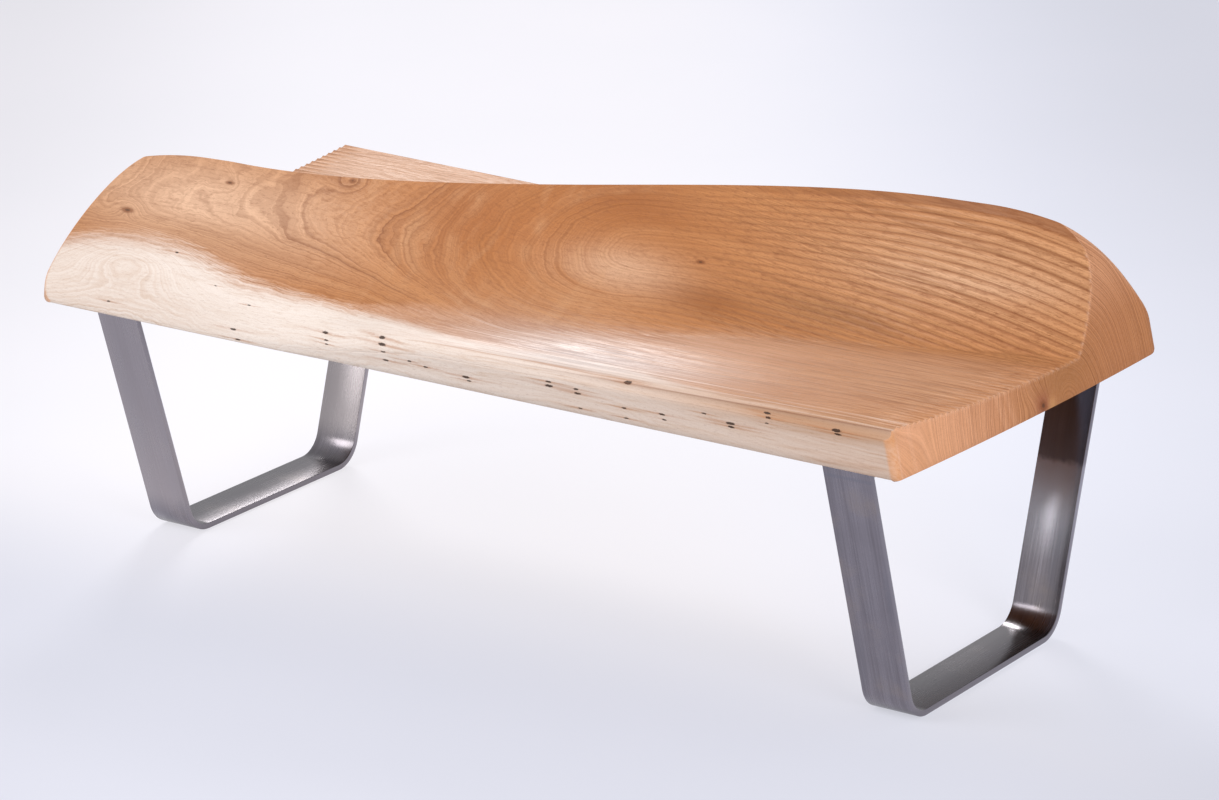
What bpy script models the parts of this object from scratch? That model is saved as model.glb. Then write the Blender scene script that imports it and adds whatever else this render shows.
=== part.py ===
"""Carved wooden bench on two frames bent from flat bar. Metres, +Z up, +X along the bench, its front at -Y."""

import math

import bmesh
import bpy
from mathutils import Matrix, Vector

# Slab: heights are measured up from its flat underside
underside_height = 0.344
seat_half_depth = 0.308
crest_height = 0.1875
crest_dip = 0.0055
crest_drop_start = 0.468
crest_drop_rate = 1.12
front_lip = {"thickness": 0.050, "radius": 0.014}
back_lip = {"thickness": 0.0625, "radius": 0.008}
lip_thickening = 0.0195
lip_radius_at_hump = 0.045
trough_thickness = 0.048
trough_thinning = 0.0085
hump_foot_height = 0.0037

# Crest line in plan: an S that swings from the front edge's side on the left to the back edge's on the right
crest_sweep = 0.1763
crest_turn = 0.430
crest_flare = 0.086

# Sections across the slab: shares are of the way from the edge to the crest
scoop_start_middle = 0.314
scoop_start_rate = 0.765
scoop_power_middle = 1.5
scoop_power_rate = 0.43
flat_power = 2.0
hump_power = 1.31
hump_reached = -0.40
scoop_reached = 0.02

# Slab ends: reach at the underside, bow in plan, lean, rounding over to the crest, corner radii in plan
plain_end = {
    "reach": 0.6551, "bow": 0.075, "bow_centre": 0.1325, "lean": 0.231,
    "round_depth": 0.1095, "round_power": 6.0, "hump_corner": 0.037, "flat_corner": 0.008,
}
# The left end's hump is a little fuller, and takes over from the plain shape across this stretch of y
left_hump_end = {
    "reach": 0.6650, "bow": 0.053, "bow_centre": -0.1965, "lean": 0.0675,
    "round_depth": 0.1189, "round_power": 1.8, "hump_corner": 0.0186, "flat_corner": 0.008,
}
hump_end_from = -0.12
hump_end_whole = 0.06

# Ripples: grooves that run along the bench, deepest at its end, gone before its middle. They are widest and
# deepest where the scoop is steep, and evenly spaced along the sections at ripples_even_from and at the end.
flat_ripple_pitch = 0.0110
scoop_ripple_pitch = 0.0125
scoop_ripple_slope = 0.7
ripple_depth = 0.0021
ripples_even_from = 0.30
ripple_gone = -0.10
ripple_full = 0.50

# Fineness of the slab's mesh
stations_each_side = 15
station_power = 1.25
rows_down = 6
row_crowding = 0.7
plain_column_step = 4
plain_from_station = 3

# Leg frames, bent from flat bar
bar_width = 0.065
bar_thickness = 0.008
left_frame_inset = 0.0955
right_frame_inset = 0.0926
frame_shift = 0.0178
frame_top_half_span = 0.2783
frame_foot_half_span = 0.1739
bend_outer_radius = 0.045
bend_steps = 12
bar_edge_round = 0.0007

# Fixings: hexagon screws, through slots in the top bars, into threaded inserts in the slab
screws_per_bar = 4
screw_end_distance = 0.046
screw_diameter = 0.008
screw_length = 0.025
screw_head_across_flats = 0.013
screw_head_height = 0.0053
washer_diameter = 0.020
washer_thickness = 0.0016
slot_clearance = 0.0005
slot_travel = 0.010
insert_length = 0.020
insert_wall = 0.002
insert_end_clearance = 0.001
round_steps = 12
touch_gap = 0.0003


def clear_scene():
    for old in list(bpy.data.objects):
        bpy.data.objects.remove(old, do_unlink=True)


def make_collection(name):
    collection = bpy.data.collections.new(name)
    bpy.context.scene.collection.children.link(collection)
    return collection


def make_material(name, colour, roughness, metallic):
    material = bpy.data.materials.new(name)
    material.use_nodes = True
    shader = material.node_tree.nodes["Principled BSDF"]
    shader.inputs["Base Color"].default_value = (*colour, 1.0)
    shader.inputs["Roughness"].default_value = roughness
    shader.inputs["Metallic"].default_value = metallic
    material.diffuse_color = (*colour, 1.0)
    return material


def add_object(name, mesh, collection, material):
    made = bpy.data.objects.new(name, mesh)
    if not mesh.materials:
        mesh.materials.append(material)
    collection.objects.link(made)
    return made


def add_cutter(name, mesh, collection):
    cutter = bpy.data.objects.new(name, mesh)
    cutter.hide_render = True
    cutter.display_type = "WIRE"
    collection.objects.link(cutter)
    return cutter


def use_boolean(target, other, operation):
    boolean = target.modifiers.new(other.name, "BOOLEAN")
    boolean.operation = operation
    boolean.object = other
    return boolean


def smoothstep(value):
    t = min(max(value, 0.0), 1.0)
    return t * t * (3.0 - 2.0 * t)


def crest_y(x):
    swing = crest_sweep * math.sin(0.5 * math.pi * min(max(x / crest_turn, -1.0), 1.0))
    return swing + math.copysign(crest_flare * max(abs(x) - crest_turn, 0.0), x)


def crest_z(x):
    """The crest dips a little at the middle, and falls off in a curve towards the ends."""
    dip = crest_dip * (1.0 - min(abs(x) / crest_turn, 1.0) ** 1.5)
    return crest_height - dip - crest_drop_rate * max(abs(x) - crest_drop_start, 0.0) ** 2


def scoop_section(x, share, lip):
    """Low side: from the lip a flat falls gently to the trough, and the scoop sweeps up from there."""
    start = min(max(scoop_start_middle + scoop_start_rate * x, 0.02), 0.95)
    power = max(scoop_power_middle - scoop_power_rate * x, 1.0)
    trough = trough_thickness - trough_thinning * abs(x)
    fall = lip["thickness"] + lip_thickening * abs(x) - trough
    flat = fall * max(1.0 - share / start, 0.0) ** flat_power
    scoop = max((share - start) / (1.0 - start), 0.0) ** power
    return trough + flat + (crest_z(x) - trough) * scoop


def hump_section(x, share):
    """High side: it rises at once from the underside's edge and rounds over to the crest."""
    return hump_foot_height + (crest_z(x) - hump_foot_height) * share ** (1.0 / hump_power)


def smooth_surface(x, share, lip):
    """(y, z) on the front side, at a share of the way from the front edge to the crest."""
    y = -seat_half_depth + share * (crest_y(x) + seat_half_depth)
    scooped = smoothstep((x - hump_reached) / (scoop_reached - hump_reached))
    z = scooped * scoop_section(x, share, lip) + (1.0 - scooped) * hump_section(x, share)
    radius = scooped * lip["radius"] + (1.0 - scooped) * lip_radius_at_hump
    short_of_flat = max(radius - (y + seat_half_depth), 0.0)
    return y, z - scooped * (radius - math.sqrt(radius**2 - short_of_flat**2))


def ripple_pitch(run, rise):
    """The ripples are a little wider up the scoop than on the flat."""
    steep = min(max(rise / (scoop_ripple_slope * math.hypot(run, rise)), 0.0), 1.0)
    return flat_ripple_pitch + (scoop_ripple_pitch - flat_ripple_pitch) * steep


def carved_surface(x, line, lip):
    """The smooth surface, sunk square to itself where a groove's bottom runs."""
    inner_share, end_share, in_groove = line
    way_out = min(max((x - ripples_even_from) / (plain_end["reach"] - ripples_even_from), 0.0), 1.0)
    share = inner_share + way_out * (end_share - inner_share)
    y, z = smooth_surface(x, share, lip)
    if not in_groove:
        return y, z
    step = 0.002
    before = smooth_surface(x, max(share - step, 0.0), lip)
    after = smooth_surface(x, min(share + step, 1.0), lip)
    run, rise = after[0] - before[0], after[1] - before[1]
    depth = ripple_depth * (ripple_pitch(run, rise) / flat_ripple_pitch) ** 2
    sunk = depth * smoothstep((x - ripple_gone) / (ripple_full - ripple_gone)) / math.hypot(run, rise)
    return y + sunk * rise, z - sunk * run


def end_x(y, z, end):
    """How far the slab reaches at a point of its end face. y counts towards that end's hump."""
    reach = end["reach"] - end["bow"] * (y - end["bow_centre"]) ** 2
    share = min(max(z, 0.0) / (crest_height + 0.001), 1.0)
    inset = end["lean"] * z + end["round_depth"] * (1.0 - math.sqrt(1.0 - share ** end["round_power"]))
    for radius, along in ((end["hump_corner"], y), (end["flat_corner"], -y)):
        past = min(max(along - (seat_half_depth - radius), 0.0), radius)
        inset += radius - math.sqrt(radius**2 - past**2)
    return reach - inset


def ripple_counts(x, samples):
    """How many ripples the section at x has room for, counted up to each share."""
    points = [Vector(smooth_surface(x, i / samples, front_lip)) for i in range(samples + 1)]
    counts = [0.0]
    for before, after in zip(points, points[1:]):
        way = after - before
        counts.append(counts[-1] + way.length / ripple_pitch(way.x, way.y))
    return counts


def carving_lines():
    """Lines from the front edge to the crest, each with whether a groove's bottom runs there. They are
    evenly spaced along two sections, so that the grooves keep their pitch up the scoop. Each has its share
    of the way to the crest at both. No groove runs so near to the crest that it would cut through it."""
    samples = 2000
    sections = [ripple_counts(x, samples) for x in (ripples_even_from, plain_end["reach"])]
    spaces = 2 * round(sections[1][-1])
    at = [0, 0]
    lines = []
    for k in range(spaces + 1):
        for which, counts in enumerate(sections):
            while at[which] < samples and counts[at[which]] < counts[-1] * k / spaces:
                at[which] += 1
        lines.append((at[0] / samples, at[1] / samples, k % 2 == 1 and k < spaces - 1))
    return lines


class SlabGrid:
    """Stations run along the bench, from left to right. Columns run from front to back, over the crest."""

    def __init__(self):
        lines = carving_lines()
        self.crest = len(lines) - 1
        self.columns = lines + lines[-2::-1]
        self.last = len(self.columns) - 1
        corner = scoop_start_middle + scoop_start_rate * plain_end["reach"]
        self.trough = sum(1 for _, end_share, _ in lines if end_share < corner)
        self.arris = {}
        for station in (0, 2 * stations_each_side):
            for column in range(self.last + 1):
                self.arris[station, column] = self.find_arris(station, column)

    def surface(self, x, column):
        line = self.columns[column]
        if column <= self.crest:
            return carved_surface(x, line, front_lip)
        y, z = carved_surface(-x, line, back_lip)
        return -y, z

    def end_reach(self, station, y, z):
        if station >= stations_each_side:
            return end_x(y, z, plain_end)
        humped = smoothstep((-y - hump_end_from) / (hump_end_whole - hump_end_from))
        return humped * end_x(-y, z, left_hump_end) + (1.0 - humped) * end_x(-y, z, plain_end)

    def find_arris(self, station, column):
        """Where a column runs out over the end face, found by halving."""
        sign = 1.0 if station else -1.0
        near, far = crest_turn, 1.1 * left_hump_end["reach"]
        for _ in range(26):
            middle = 0.5 * (near + far)
            if middle > self.end_reach(station, *self.surface(sign * middle, column)):
                far = middle
            else:
                near = middle
        return near

    def station_x(self, station, furthest):
        from_middle = station / stations_each_side - 1.0
        spread = 1.0 - (1.0 - abs(from_middle)) ** station_power
        return math.copysign(spread * furthest, from_middle)

    def top(self, station, column):
        end = 2 * stations_each_side if station >= stations_each_side else 0
        x = self.station_x(station, self.arris[end, column])
        return Vector((x, *self.surface(x, column)))

    def below(self, station, top, row):
        """The point under a rim point, some rows down. On tall columns the rows crowd towards the arris."""
        way_down = (row / rows_down) ** (1.0 + row_crowding * (top.z / crest_height) ** 2)
        z = top.z * (1.0 - way_down)
        return Vector((self.station_x(station, self.end_reach(station, top.y, z)), top.y, z))

    def is_plain(self, station, column, row):
        """Whether the mesh can do without this column here: on the humps, and below the ends' arrises."""
        from_edge = min(column, self.last - column)
        on_step = (from_edge - self.trough) % plain_column_step == 0
        if from_edge in (0, self.crest) or (on_step and from_edge <= self.crest - plain_column_step):
            return False
        into_hump = station - stations_each_side if column > self.crest else stations_each_side - station
        return row > 0 or into_hump >= plain_from_station


def build_slab_mesh():
    """A grid is laid over the carved top, its rim is drawn down to the underside, and that is closed."""
    grid = SlabGrid()
    stations = 2 * stations_each_side
    bm = bmesh.new()
    bmesh.ops.create_grid(bm, x_segments=stations, y_segments=grid.last, size=1.0)
    place = {}
    for vert in bm.verts:
        station = round((vert.co.x + 1.0) * 0.5 * stations)
        column = round((vert.co.y + 1.0) * 0.5 * grid.last)
        place[vert] = (station, column, 0)
        vert.co = grid.top(station, column)

    rim = [edge for edge in bm.edges if edge.is_boundary]
    tops = {vert: vert.co.copy() for edge in rim for vert in edge.verts}
    for row in range(1, rows_down + 1):
        uppers = {vert for edge in rim for vert in edge.verts}
        made = bmesh.ops.extrude_edge_only(bm, edges=rim)["geom"]
        rim = [item for item in made if isinstance(item, bmesh.types.BMEdge) and item.is_boundary]
        for vert in {vert for edge in rim for vert in edge.verts}:
            over = next(e.other_vert(vert) for e in vert.link_edges if e.other_vert(vert) in uppers)
            station, column, _ = place[over]
            place[vert] = (station, column, row)
            tops[vert] = tops[over]
            vert.co = grid.below(station, tops[vert], row)
    bmesh.ops.contextual_create(bm, geom=rim)

    spare = []
    for edge in bm.edges:
        (station, column, row), (other_station, other_column, other_row) = (place[v] for v in edge.verts)
        along_column = column == other_column
        plain = grid.is_plain(station, column, row) and grid.is_plain(other_station, column, other_row)
        level = row == other_row and 0 < row < rows_down and station != other_station
        hangs = row != other_row and grid.is_plain(station, column, 1)
        if along_column and (plain or level or hangs):
            spare.append(edge)
    bmesh.ops.dissolve_edges(bm, edges=spare, use_verts=True)
    bmesh.ops.recalc_face_normals(bm, faces=bm.faces)

    mesh = bpy.data.meshes.new("seat")
    bm.to_mesh(mesh)
    bm.free()
    middle = 0.5 * (max(v.co.x for v in mesh.vertices) + min(v.co.x for v in mesh.vertices))
    mesh.transform(Matrix.Translation((-middle, 0.0, 0.0)))
    return mesh


def build_seat(collection, material):
    mesh = build_slab_mesh()
    mesh.shade_smooth()
    mesh.set_sharp_from_angle(angle=math.radians(22))
    seat = add_object("seat", mesh, collection, material)
    seat.location.z = underside_height
    return seat


def lean_angle():
    return math.atan2(frame_top_half_span - frame_foot_half_span, underside_height)


def inner_half_span(z):
    """Half the clear width between the two legs of a frame, at a height above the floor."""
    outer = frame_foot_half_span + (frame_top_half_span - frame_foot_half_span) * z / underside_height
    return outer - bar_thickness / math.cos(lean_angle())


def frame_outline():
    """(y, z) points round the bent bar, seen along the bench: down one leg, along the floor, up the other."""
    lean = lean_angle()
    top = underside_height - touch_gap
    tangent = bend_outer_radius * math.tan(0.5 * (0.5 * math.pi - lean))
    centre_y = frame_foot_half_span - tangent

    def right_half(radius, top_y):
        points = [(top_y, top)]
        for i in range(bend_steps + 1):
            angle = -lean - (0.5 * math.pi - lean) * i / bend_steps
            points.append((centre_y + radius * math.cos(angle), bend_outer_radius + radius * math.sin(angle)))
        return points

    outer_top = inner_half_span(top) + bar_thickness / math.cos(lean)
    outer = right_half(bend_outer_radius, outer_top)
    inner = right_half(bend_outer_radius - bar_thickness, inner_half_span(top))
    outer += [(-y, z) for y, z in reversed(outer)]
    inner += [(-y, z) for y, z in reversed(inner)]
    return outer + inner[::-1]


def plate_mesh(name, outline, width):
    """A flat outline in the Y-Z plane, given its width along X. The curve it starts as is not kept."""
    curve = bpy.data.curves.new(name, "CURVE")
    curve.dimensions = "2D"
    curve.fill_mode = "BOTH"
    curve.extrude = 0.5 * width
    spline = curve.splines.new("POLY")
    spline.points.add(len(outline) - 1)
    for point, (y, z) in zip(spline.points, outline):
        point.co = (y, z, 0.0, 1.0)
    spline.use_cyclic_u = True
    helper = bpy.data.objects.new(name, curve)
    bpy.context.scene.collection.objects.link(helper)
    mesh = bpy.data.meshes.new_from_object(helper.evaluated_get(bpy.context.evaluated_depsgraph_get()))
    bpy.data.objects.remove(helper)
    bpy.data.curves.remove(curve)
    bm = bmesh.new()
    bm.from_mesh(mesh)
    bmesh.ops.remove_doubles(bm, verts=bm.verts, dist=1e-6)
    turned = Matrix(((0.0, 0.0, 1.0, 0.0), (1.0, 0.0, 0.0, 0.0), (0.0, 1.0, 0.0, 0.0), (0.0, 0.0, 0.0, 1.0)))
    bmesh.ops.transform(bm, matrix=turned, verts=bm.verts)
    bmesh.ops.recalc_face_normals(bm, faces=bm.faces)
    bm.to_mesh(mesh)
    bm.free()
    return mesh


def round_edges(made):
    bevel = made.modifiers.new("rounded_edges", "BEVEL")
    bevel.width = bar_edge_round
    bevel.segments = 1
    bevel.limit_method = "ANGLE"
    bevel.angle_limit = math.radians(45)


def build_frame(name, place, collection, material):
    mesh = plate_mesh(name, frame_outline(), bar_width)
    mesh.shade_smooth()
    mesh.set_sharp_from_angle(angle=math.radians(30))
    frame = add_object(name, mesh, collection, material)
    frame.parent = place
    round_edges(frame)


def screw_rows():
    """y of each screw, from its frame's middle: the outer two keep their distance from the bar's ends."""
    outer = inner_half_span(underside_height) - screw_end_distance
    return [outer * (2.0 * i / (screws_per_bar - 1) - 1.0) for i in range(screws_per_bar)]


def slot_cutter_mesh(name):
    """One slot for each screw, all in one mesh: its screw can travel along the bar as the slab swells."""
    bm = bmesh.new()
    radius = 0.5 * screw_diameter + slot_clearance
    for y in screw_rows():
        made = bmesh.ops.create_cone(
            bm, cap_ends=True, segments=round_steps, radius1=radius, radius2=radius, depth=4.0 * bar_thickness,
            matrix=Matrix.Rotation(math.pi / round_steps, 4, "Z"),
        )
        for vert in made["verts"]:
            vert.co.y += y + math.copysign(0.5 * slot_travel, vert.co.y)
            vert.co.z += underside_height - 0.5 * bar_thickness
    mesh = bpy.data.meshes.new(name)
    bm.to_mesh(mesh)
    bm.free()
    return mesh


def build_top_bar(name, place, collection, cutters, material):
    top = underside_height - touch_gap
    bottom = top - bar_thickness
    end_gap = touch_gap / math.cos(lean_angle())
    high = inner_half_span(top) - end_gap
    low = inner_half_span(bottom) - end_gap
    outline = [(-low, bottom), (low, bottom), (high, top), (-high, top)]
    bar = add_object(name, plate_mesh(name, outline, bar_width), collection, material)
    bar.parent = place
    cutter = add_cutter(name + "_slots", slot_cutter_mesh(name + "_slots"), cutters)
    cutter.parent = place
    use_boolean(bar, cutter, "DIFFERENCE")


def turned_mesh(name, profile):
    """A closed profile of (radius, z) points, turned about Z."""
    mesh = bpy.data.meshes.new(name)
    count = len(profile)
    mesh.from_pydata([(r, 0.0, z) for r, z in profile], [(i, (i + 1) % count) for i in range(count)], [])
    helper = bpy.data.objects.new(name, mesh)
    bpy.context.scene.collection.objects.link(helper)
    turn = helper.modifiers.new("turned", "SCREW")
    turn.steps = round_steps
    turn.render_steps = round_steps
    turn.use_merge_vertices = True
    turn.merge_threshold = 1e-6
    turned = bpy.data.meshes.new_from_object(helper.evaluated_get(bpy.context.evaluated_depsgraph_get()))
    bpy.data.objects.remove(helper)
    bpy.data.meshes.remove(mesh)
    turned.name = name
    turned.shade_smooth()
    turned.set_sharp_from_angle(angle=math.radians(40))
    return turned


def ring_mesh(name, bore_radius, outer_radius, length, chamfer):
    """A plain ring standing on z = 0, both its outer rims chamfered. The profile runs top to bottom outside."""
    profile = [
        (bore_radius, length), (outer_radius - chamfer, length), (outer_radius, length - chamfer),
        (outer_radius, chamfer), (outer_radius - chamfer, 0.0), (bore_radius, 0.0),
    ]
    return turned_mesh(name, profile)


def screw_mesh(name):
    """Hexagon head below z = 0, shank above it with a chamfered tip."""
    bm = bmesh.new()
    corner_radius = 0.5 * screw_head_across_flats / math.cos(math.pi / 6.0)
    bmesh.ops.create_cone(
        bm, cap_ends=True, segments=6, radius1=corner_radius, radius2=corner_radius, depth=screw_head_height,
        matrix=Matrix.Translation((0.0, 0.0, -0.5 * screw_head_height)),
    )
    head_mesh = bpy.data.meshes.new(name + "_head")
    bm.to_mesh(head_mesh)
    bm.free()
    chamfer = 0.1 * screw_diameter
    radius = 0.5 * screw_diameter
    sunk = 0.5 * screw_head_height
    profile = [
        (0.0, screw_length), (radius - chamfer, screw_length), (radius, screw_length - chamfer),
        (radius, -sunk), (0.0, -sunk),
    ]
    shank_mesh = turned_mesh(name + "_shank", profile)
    head = bpy.data.objects.new("head", head_mesh)
    shank = bpy.data.objects.new("shank", shank_mesh)
    for helper in (head, shank):
        bpy.context.scene.collection.objects.link(helper)
    use_boolean(head, shank, "UNION")
    whole = bpy.data.meshes.new_from_object(head.evaluated_get(bpy.context.evaluated_depsgraph_get()))
    for helper in (head, shank):
        bpy.data.objects.remove(helper)
    whole.name = name
    return whole


def build_fixings(side, place, collection, materials, meshes):
    """Screws, washers and inserts of one frame, from the bar's underside up into the slab."""
    washer_top = underside_height - touch_gap - bar_thickness - touch_gap
    head_top = washer_top - washer_thickness - touch_gap
    levels = {"insert": underside_height, "washer": washer_top - washer_thickness, "screw": head_top}
    for number, y in enumerate(screw_rows(), 1):
        for kind, level in levels.items():
            piece = add_object(f"{kind}_{side}_{number}", meshes[kind], collection, materials[kind])
            piece.parent = place
            piece.location = (0.0, y, level)


def insert_radius():
    return 0.5 * screw_diameter + touch_gap + insert_wall


def cut_insert_holes(seat, places, cutters):
    """One blind hole for each insert, bored into the slab from below."""
    depth = insert_length + insert_end_clearance
    radius = insert_radius() + touch_gap
    for side, place in places.items():
        bm = bmesh.new()
        for y in screw_rows():
            bmesh.ops.create_cone(
                bm, cap_ends=True, segments=round_steps, radius1=radius, radius2=radius, depth=2.0 * depth,
                matrix=Matrix.Translation((0.0, y, underside_height)),
            )
        mesh = bpy.data.meshes.new("insert_holes_" + side)
        bm.to_mesh(mesh)
        bm.free()
        cutter = add_cutter("insert_holes_" + side, mesh, cutters)
        cutter.parent = place
        use_boolean(seat, cutter, "DIFFERENCE")


def build_bench():
    clear_scene()
    parts = make_collection("seating_bench")
    cutters = make_collection("cutters")
    wood = make_material("oiled_hardwood", (0.63, 0.34, 0.16), 0.42, 0.0)
    steel = make_material("bare_steel", (0.27, 0.26, 0.26), 0.38, 1.0)
    zinc = make_material("zinc_plated_steel", (0.62, 0.62, 0.64), 0.32, 1.0)
    brass = make_material("brass", (0.75, 0.56, 0.25), 0.30, 1.0)

    seat = build_seat(parts, wood)
    half_length = max(v.co.x for v in seat.data.vertices)
    places = {}
    spots = {
        "left": (left_frame_inset - half_length, frame_shift),
        "right": (half_length - right_frame_inset, -frame_shift),
    }
    for side, (x, y) in spots.items():
        place = bpy.data.objects.new("frame_place_" + side, None)
        place.location = (x, y, 0.0)
        parts.objects.link(place)
        places[side] = place

    bore = 0.5 * screw_diameter + touch_gap
    meshes = {
        "screw": screw_mesh("screw"),
        "washer": ring_mesh("washer", bore, 0.5 * washer_diameter, washer_thickness, 0.15 * washer_thickness),
        "insert": ring_mesh("insert", bore, insert_radius(), insert_length, 0.4 * insert_wall),
    }
    materials = {"screw": zinc, "washer": zinc, "insert": brass}
    for side, place in places.items():
        build_frame("leg_frame_" + side, place, parts, steel)
        build_top_bar("top_bar_" + side, place, parts, cutters, steel)
        build_fixings(side, place, parts, materials, meshes)
    cut_insert_holes(seat, places, cutters)


build_bench()
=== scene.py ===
import bmesh
import bpy
import math
from mathutils import Matrix, Vector
from types import SimpleNamespace


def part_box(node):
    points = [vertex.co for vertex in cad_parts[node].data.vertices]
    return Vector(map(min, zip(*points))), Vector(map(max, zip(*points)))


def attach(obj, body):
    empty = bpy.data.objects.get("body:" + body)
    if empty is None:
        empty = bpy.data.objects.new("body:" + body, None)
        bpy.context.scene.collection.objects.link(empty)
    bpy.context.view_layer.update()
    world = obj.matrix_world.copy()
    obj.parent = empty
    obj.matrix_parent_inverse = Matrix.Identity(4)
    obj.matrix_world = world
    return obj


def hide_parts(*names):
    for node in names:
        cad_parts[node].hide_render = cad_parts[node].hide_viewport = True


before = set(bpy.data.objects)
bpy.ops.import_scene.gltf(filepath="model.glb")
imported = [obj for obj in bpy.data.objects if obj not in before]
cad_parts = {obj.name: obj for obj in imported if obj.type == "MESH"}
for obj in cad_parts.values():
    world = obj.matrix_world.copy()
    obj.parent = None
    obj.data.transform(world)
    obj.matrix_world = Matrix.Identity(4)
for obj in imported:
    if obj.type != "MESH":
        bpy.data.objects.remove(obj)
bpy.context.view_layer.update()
print("frame loaded")


# Helpers for meshes

def deselectAll():
    if bpy.context.mode != "OBJECT":
        bpy.ops.object.mode_set(mode="OBJECT")
    bpy.ops.object.select_all(action="DESELECT")


def makeActive(piece):
    deselectAll()
    piece.select_set(True)
    bpy.context.view_layer.objects.active = piece


def applyModifier(piece, kind, **settings):
    makeActive(piece)
    modifier = piece.modifiers.new(kind.lower(), kind)
    for name, value in settings.items():
        setattr(modifier, name, value)
    bpy.ops.object.modifier_apply(modifier=modifier.name)


def settle(piece, smoothAngle):
    # place goes into the mesh, so that the object sits at the origin
    makeActive(piece)
    bpy.ops.object.transform_apply(location=True, rotation=True, scale=True)
    bpy.ops.object.shade_smooth_by_angle(angle=math.radians(smoothAngle))
    piece.data.set_sharp_from_angle(angle=math.radians(smoothAngle))


def smoothstep(value):
    t = min(max(value, 0.0), 1.0)
    return t * t * (3.0 - 2.0 * t)


# The carved seat: the same carving as the CAD seat, with every ripple and rounded rims

seatShape = {
    "undersideHeight": 0.344, "halfDepth": 0.308, "crestHeight": 0.1875, "crestDip": 0.0055,
    "crestDropStart": 0.468, "crestDropRate": 1.12,
    "frontLip": {"thickness": 0.050, "radius": 0.014}, "backLip": {"thickness": 0.0625, "radius": 0.008},
    "lipThickening": 0.0195, "lipRadiusAtHump": 0.045, "troughThickness": 0.048, "troughThinning": 0.0085,
    "humpFoot": 0.0037, "crestSweep": 0.1763, "crestTurn": 0.430, "crestFlare": 0.086,
    "scoopStart": 0.314, "scoopStartRate": 0.765, "scoopPower": 1.5, "scoopPowerRate": 0.43,
    "flatPower": 2.0, "humpPower": 1.31, "humpReached": -0.40, "scoopReached": 0.02,
    "flatPitch": 0.0110, "scoopPitch": 0.0125, "scoopSlope": 0.7, "evenFrom": 0.30,
    "rippleDepth": 0.0021, "rippleGone": -0.10, "rippleFull": 0.50,
    "flatRippleGone": 0.56, "flatRippleFull": 0.63, "ridgeSlope": 0.004,
    "columnsPerRipple": 6, "stationsEachSide": 62, "stationPower": 1.25, "columnSamples": 4000,
    # the rim's rounds over the arris and at the foot, at most a share of the height, and the end face's rows
    "rimRound": 0.0011, "footRound": 0.0045, "roundShare": 0.3, "arrisSteps": ((0.35, 0.35), (1.0, 0.0)),
    # the rim's pale tone is strongest on the ripples' tips, as a painted highlight
    "faceRows": 7, "faceRowPower": 1.3, "footRows": 3, "tipHighlightContrast": 0.8, "rimPlain": 0.8, "smoothAngle": 32,
}
plainEnd = {
    "reach": 0.6551, "bow": 0.075, "bowCentre": 0.1325, "lean": 0.231,
    "roundDepth": 0.1095, "roundPower": 6.0, "humpCorner": 0.037, "flatCorner": 0.008,
}
leftHumpEnd = {
    "reach": 0.6650, "bow": 0.053, "bowCentre": -0.1965, "lean": 0.0675,
    "roundDepth": 0.1189, "roundPower": 1.8, "humpCorner": 0.0186, "flatCorner": 0.008,
    "from": -0.12, "whole": 0.06,
}


def crestY(x):
    s = seatShape
    swing = s["crestSweep"] * math.sin(0.5 * math.pi * min(max(x / s["crestTurn"], -1.0), 1.0))
    return swing + math.copysign(s["crestFlare"] * max(abs(x) - s["crestTurn"], 0.0), x)


def crestZ(x):
    s = seatShape
    dip = s["crestDip"] * (1.0 - min(abs(x) / s["crestTurn"], 1.0) ** 1.5)
    return s["crestHeight"] - dip - s["crestDropRate"] * max(abs(x) - s["crestDropStart"], 0.0) ** 2


def smoothSurface(x, share, lip):
    # share is the way from the front edge, 0, to the crest, 1
    s = seatShape
    y = -s["halfDepth"] + share * (crestY(x) + s["halfDepth"])
    scooped = smoothstep((x - s["humpReached"]) / (s["scoopReached"] - s["humpReached"]))
    top = crestZ(x)
    start = min(max(s["scoopStart"] + s["scoopStartRate"] * x, 0.02), 0.95)
    trough = s["troughThickness"] - s["troughThinning"] * abs(x)
    fall = lip["thickness"] + s["lipThickening"] * abs(x) - trough
    scoop = trough + fall * max(1.0 - share / start, 0.0) ** s["flatPower"]
    power = max(s["scoopPower"] - s["scoopPowerRate"] * x, 1.0)
    scoop += (top - trough) * max((share - start) / (1.0 - start), 0.0) ** power
    hump = s["humpFoot"] + (top - s["humpFoot"]) * share ** (1.0 / s["humpPower"])
    radius = scooped * lip["radius"] + (1.0 - scooped) * s["lipRadiusAtHump"]
    short = max(radius - (y + s["halfDepth"]), 0.0)
    z = scooped * scoop + (1.0 - scooped) * hump
    return y, z - scooped * (radius - math.sqrt(radius**2 - short**2))


def ripplePitch(run, rise):
    # a little wider up the scoop than on the flat
    s = seatShape
    steep = min(max(rise / (s["scoopSlope"] * math.hypot(run, rise)), 0.0), 1.0)
    return s["flatPitch"] + (s["scoopPitch"] - s["flatPitch"]) * steep


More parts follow.
